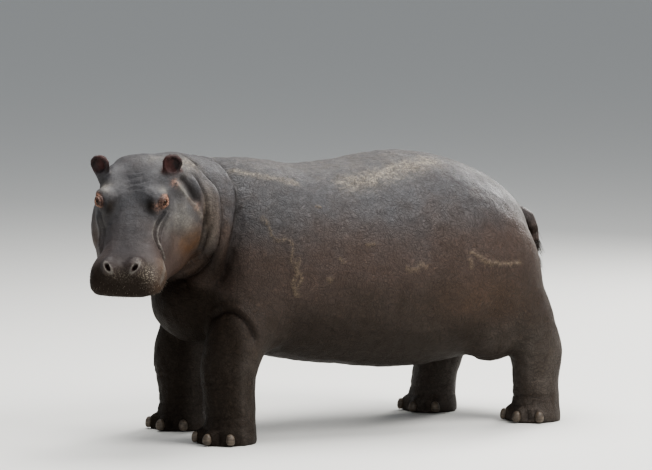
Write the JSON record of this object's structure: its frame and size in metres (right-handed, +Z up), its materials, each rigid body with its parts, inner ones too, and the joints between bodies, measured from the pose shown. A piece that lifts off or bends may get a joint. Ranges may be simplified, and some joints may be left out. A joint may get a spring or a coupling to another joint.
{
  "type": "hippopotamus model",
  "caption": "Life-size standing hippopotamus with a lowered head turned to its left, small round ears, a short hanging tail and blunt nailed toes.",
  "frame": {"origin": "on the floor under the middle of the animal's bounds", "axes": "+X towards the tail along the trunk, -Y towards the animal's left side, +Z up"},
  "size_m": [2.8526, 1.2, 1.4999],
  "materials": {
    "hide": "matte, wrinkled",
    "ear_hide": "matte",
    "eye_glass": "gloss",
    "nail_horn": "satin"
  },
  "bodies": {
    "root": {"head": "hide", "lower_jaw": "hide", "neck": "hide", "trunk": "hide", "foreleg_left": "hide", "foreleg_right": "hide", "hindleg_left": "hide", "hindleg_right": "hide", "tail": "ear_hide", "ear_left": "ear_hide", "ear_right": "ear_hide", "eye_left": "eye_glass", "eye_right": "eye_glass", "nail_foreleg_left_1": "nail_horn", "nail_foreleg_left_2": "nail_horn", "nail_foreleg_left_3": "nail_horn", "nail_foreleg_left_4": "nail_horn", "nail_foreleg_right_1": "nail_horn", "nail_foreleg_right_2": "nail_horn", "nail_foreleg_right_3": "nail_horn", "nail_foreleg_right_4": "nail_horn", "nail_hindleg_left_1": "nail_horn", "nail_hindleg_left_2": "nail_horn", "nail_hindleg_left_3": "nail_horn", "nail_hindleg_left_4": "nail_horn", "nail_hindleg_right_1": "nail_horn", "nail_hindleg_right_2": "nail_horn", "nail_hindleg_right_3": "nail_horn", "nail_hindleg_right_4": "nail_horn"}
  },
  "joints": []
}
